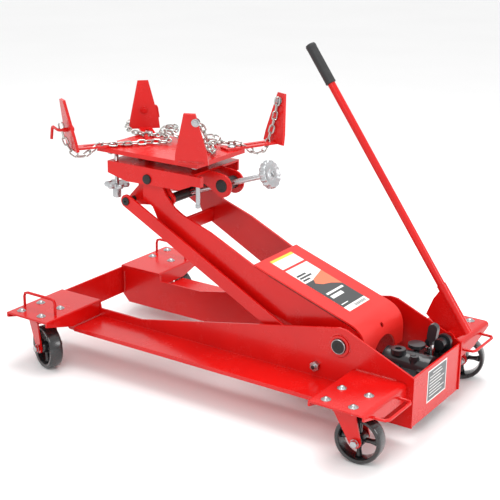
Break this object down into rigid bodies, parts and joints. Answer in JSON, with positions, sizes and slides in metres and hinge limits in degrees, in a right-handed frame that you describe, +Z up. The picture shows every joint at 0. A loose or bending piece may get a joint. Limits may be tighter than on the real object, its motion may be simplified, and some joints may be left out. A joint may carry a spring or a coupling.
{
  "type": "transmission jack",
  "caption": "Low-profile floor jack on swivel casters: a pumped lift arm raises a tilting saddle with swinging corner arms to hold a gearbox.",
  "frame": {"origin": "centre of the base on the floor, under the middle of the overall length", "axes": "+X from the saddle end to the pump and handle end, +Y to the side that carries the handle, +Z up"},
  "size_m": [1.2049, 0.744, 0.9343],
  "materials": {
    "red_paint": "glossy red powder coat",
    "black_oxide": "satin black oxide",
    "zinc": "bright zinc plate",
    "chrome": "hard chrome",
    "cast_aluminium": "as-cast aluminium, polished rim",
    "black_wheel": "gloss black wheel",
    "grip_rubber": "matt black rubber"
  },
  "bodies": {
    "frame": {"side_rail_left": "red_paint", "side_rail_right": "red_paint", "front_cross_plate": "red_paint", "rear_plate": "red_paint", "front_wing_left": "red_paint", "front_wing_right": "red_paint", "rear_wing_left": "red_paint", "rear_wing_right": "red_paint", "main_pivot_shaft": "black_oxide", "link_bolt_left": "zinc", "link_bolt_right": "zinc", "power_unit": "black_oxide", "caster_plate_front_left": "red_paint", "caster_plate_front_right": "red_paint", "caster_plate_rear_left": "red_paint", "caster_plate_rear_right": "red_paint"},
    "lift_arm": {"arm_side_left": "red_paint", "arm_side_right": "red_paint", "arm_hub": "red_paint", "arm_brace": "red_paint", "arm_cover": "red_paint"},
    "level_links": {"level_link_left": "red_paint", "level_link_right": "red_paint", "link_shaft": "black_oxide"},
    "head": {"level_bracket": "red_paint", "head_shaft": "black_oxide"},
    "front_trunnion": {"front_trunnion": "black_oxide"},
    "tilt_channel": {"tilt_channel": "red_paint", "stop_bolt": "zinc"},
    "rear_trunnion": {"rear_trunnion": "black_oxide"},
    "tilt_screw": {"tilt_screw": "chrome", "tilt_knob": "cast_aluminium"},
    "side_tilt_screw": {"side_tilt_screw": "chrome"},
    "star_knob": {"star_knob": "cast_aluminium"},
    "saddle": {"saddle_plate": "red_paint"},
    "ram": {"ram": "chrome"},
    "plunger": {"pump_plunger": "chrome"},
    "handle": {"pump_lever": "black_oxide", "handle_socket": "red_paint", "handle_tube": "red_paint", "handle_grip": "grip_rubber"},
    "release_valve": {"release_valve": "black_oxide"},
    "fork_front_left": {"caster_fork_front_left": "red_paint"},
    "wheel_front_left": {"caster_wheel_front_left": "black_wheel"},
    "fork_front_right": {"caster_fork_front_right": "red_paint"},
    "wheel_front_right": {"caster_wheel_front_right": "black_wheel"},
    "fork_rear_left": {"caster_fork_rear_left": "red_paint"},
    "wheel_rear_left": {"caster_wheel_rear_left": "black_wheel"},
    "fork_rear_right": {"caster_fork_rear_right": "red_paint"},
    "wheel_rear_right": {"caster_wheel_rear_right": "black_wheel"},
    "bolt_front_left": {"corner_bolt_front_left": "zinc"},
    "arm_front_left": {"corner_arm_front_left": "red_paint"},
    "bolt_rear_left": {"corner_bolt_rear_left": "zinc"},
    "arm_rear_left": {"corner_arm_rear_left": "red_paint"},
    "bolt_rear_right": {"corner_bolt_rear_right": "zinc"},
    "arm_rear_right": {"corner_arm_rear_right": "red_paint"},
    "bolt_front_right": {"corner_bolt_front_right": "zinc"},
    "arm_front_right": {"corner_arm_front_right": "red_paint"},
    "tensioner_front_left": {"tensioner_front_left": "red_paint"},
    "tensioner_front_right": {"tensioner_front_right": "red_paint"}
  },
  "joints": [
    {"name": "lift", "type": "hinge", "parent": "frame", "child": "lift_arm", "pos_m": [0.36525, 0, 0.217], "axis": [0, 1, 0], "range_deg": [-32, 21.7]},
    {"name": "link_swing", "type": "hinge", "parent": "frame", "child": "level_links", "pos_m": [0.29625, 0, 0.144], "axis": [0, 1, 0], "range_deg": [-32, 21.7]},
    {"name": "head_level", "type": "hinge", "parent": "lift_arm", "child": "head", "pos_m": [-0.28344, 0, 0.55181], "axis": [0, 1, 0], "range_deg": [-21.7, 32]},
    {"name": "ram_stroke", "type": "slide", "parent": "frame", "child": "ram", "axis": [-1, 0, 0], "range_m": [-0.03754, 0.02546]},
    {"name": "pump_handle", "type": "hinge", "parent": "frame", "child": "handle", "pos_m": [0.54225, 0, 0.186], "axis": [0, 1, 0], "range_deg": [0, 50]},
    {"name": "pump_plunger", "type": "slide", "parent": "frame", "child": "plunger", "axis": [0, 0, 1], "range_m": [0, 0.018]},
    {"name": "release", "type": "hinge", "parent": "frame", "child": "release_valve", "pos_m": [0.53825, 0.04, 0.15], "axis": [0, 0, 1], "range_deg": [0, 90]},
    {"name": "tilt_knob_turn", "type": "hinge", "parent": "rear_trunnion", "child": "tilt_screw", "pos_m": [-0.08944, 0, 0.54481], "axis": [0.9445, 0, 0.3285], "range_deg": [-1800, 1800]},
    {"name": "fore_aft_tilt", "type": "hinge", "parent": "head", "child": "tilt_channel", "pos_m": [-0.28344, 0, 0.55181], "axis": [0, 1, 0], "range_deg": [-8, 8]},
    {"name": "rear_trunnion_turn", "type": "hinge", "parent": "tilt_channel", "child": "rear_trunnion", "pos_m": [-0.08944, 0, 0.54481], "axis": [0, 1, 0], "range_deg": [-1.93, 1.93]},
    {"name": "front_trunnion_turn", "type": "hinge", "parent": "head", "child": "front_trunnion", "pos_m": [-0.22744, 0, 0.49681], "axis": [0, 1, 0], "range_deg": [-9.93, 9.93]},
    {"name": "star_knob_turn", "type": "hinge", "parent": "side_tilt_screw", "child": "star_knob", "pos_m": [-0.41144, -0.097, 0.50181], "axis": [0, 0, 1], "range_deg": [-1800, 1800]},
    {"name": "side_screw_lift", "type": "slide", "parent": "tilt_channel", "child": "side_tilt_screw", "axis": [0, 0, 1], "range_m": [-0.0103, 0.0103]},
    {"name": "side_tilt", "type": "hinge", "parent": "tilt_channel", "child": "saddle", "pos_m": [-0.28344, 0, 0.59581], "axis": [1, 0, 0], "range_deg": [-6, 6]},
    {"name": "swivel_front_left", "type": "hinge", "parent": "frame", "child": "fork_front_left", "pos_m": [-0.53425, -0.303, 0.15], "axis": [0, 0, 1], "continuous": true},
    {"name": "wheel_front_left", "type": "hinge", "parent": "fork_front_left", "child": "wheel_front_left", "pos_m": [-0.49987, -0.31668, 0.0625], "axis": [0.3697, 0.9291, 0], "continuous": true},
    {"name": "swivel_front_right", "type": "hinge", "parent": "frame", "child": "fork_front_right", "pos_m": [-0.53425, 0.303, 0.15], "axis": [0, 0, 1], "continuous": true},
    {"name": "wheel_front_right", "type": "hinge", "parent": "fork_front_right", "child": "wheel_front_right", "pos_m": [-0.49771, 0.29721, 0.0625], "axis": [0.1564, 0.9877, 0], "continuous": true},
    {"name": "swivel_rear_left", "type": "hinge", "parent": "frame", "child": "fork_rear_left", "pos_m": [0.47875, -0.303, 0.15], "axis": [0, 0, 1], "continuous": true},
    {"name": "wheel_rear_left", "type": "hinge", "parent": "fork_rear_left", "child": "wheel_rear_left", "pos_m": [0.51561, -0.29978, 0.0625], "axis": [-0.0872, 0.9962, 0], "continuous": true},
    {"name": "swivel_rear_right", "type": "hinge", "parent": "frame", "child": "fork_rear_right", "pos_m": [0.47875, 0.303, 0.15], "axis": [0, 0, 1], "continuous": true},
    {"name": "wheel_rear_right", "type": "hinge", "parent": "fork_rear_right", "child": "wheel_rear_right", "pos_m": [0.51439, 0.31295, 0.0625], "axis": [-0.2689, 0.9632, 0], "continuous": true},
    {"name": "swing_front_left", "type": "hinge", "parent": "saddle", "child": "bolt_front_left", "pos_m": [-0.43944, -0.088, 0.61981], "axis": [0, 0, 1], "range_deg": [-25, 20]},
    {"name": "slide_front_left", "type": "slide", "parent": "bolt_front_left", "child": "arm_front_left", "axis": [-0.5, -0.866, 0], "range_m": [-0.015, 0.04]},
    {"name": "tensioner_turn_front_left", "type": "hinge", "parent": "arm_front_left", "child": "tensioner_front_left", "pos_m": [-0.49344, -0.18153, 0.67811], "axis": [-0.5, -0.866, 0], "continuous": true},
    {"name": "swing_rear_left", "type": "hinge", "parent": "saddle", "child": "bolt_rear_left", "pos_m": [-0.13944, -0.088, 0.61981], "axis": [0, 0, 1], "range_deg": [-15, 25]},
    {"name": "slide_rear_left", "type": "slide", "parent": "bolt_rear_left", "child": "arm_rear_left", "axis": [0.4067, -0.9135, 0], "range_m": [-0.002, 0.06]},
    {"name": "swing_rear_right", "type": "hinge", "parent": "saddle", "child": "bolt_rear_right", "pos_m": [-0.13944, 0.088, 0.61981], "axis": [0, 0, 1], "range_deg": [0, 25]},
    {"name": "slide_rear_right", "type": "slide", "parent": "bolt_rear_right", "child": "arm_rear_right", "axis": [0.3746, 0.9272, 0], "range_m": [-0.008, 0.002]},
    {"name": "swing_front_right", "type": "hinge", "parent": "saddle", "child": "bolt_front_right", "pos_m": [-0.43944, 0.088, 0.61981], "axis": [0, 0, 1], "range_deg": [-20, 25]},
    {"name": "slide_front_right", "type": "slide", "parent": "bolt_front_right", "child": "arm_front_right", "axis": [-0.7314, 0.682, 0], "range_m": [0, 0.05]},
    {"name": "tensioner_turn_front_right", "type": "hinge", "parent": "arm_front_right", "child": "tensioner_front_right", "pos_m": [-0.50014, 0.14461, 0.67811], "axis": [-0.7314, 0.682, 0], "continuous": true}
  ],
  "couplings": [
    {"joint": "link_swing", "follows": "lift", "ratio": 1},
    {"joint": "head_level", "follows": "lift", "ratio": -1},
    {"joint": "ram_stroke", "follows": "lift", "m_per_rad": 0.0672},
    {"joint": "pump_plunger", "follows": "pump_handle", "m_per_rad": 0.0205},
    {"joint": "fore_aft_tilt", "follows": "tilt_knob_turn", "ratio": 0.0044444},
    {"joint": "rear_trunnion_turn", "follows": "tilt_knob_turn", "ratio": 0.0010677},
    {"joint": "front_trunnion_turn", "follows": "tilt_knob_turn", "ratio": 0.0055121},
    {"joint": "side_screw_lift", "follows": "star_knob_turn", "m_per_rad": 0.00032452},
    {"joint": "side_tilt", "follows": "star_knob_turn", "ratio": -0.0033333}
  ]
}
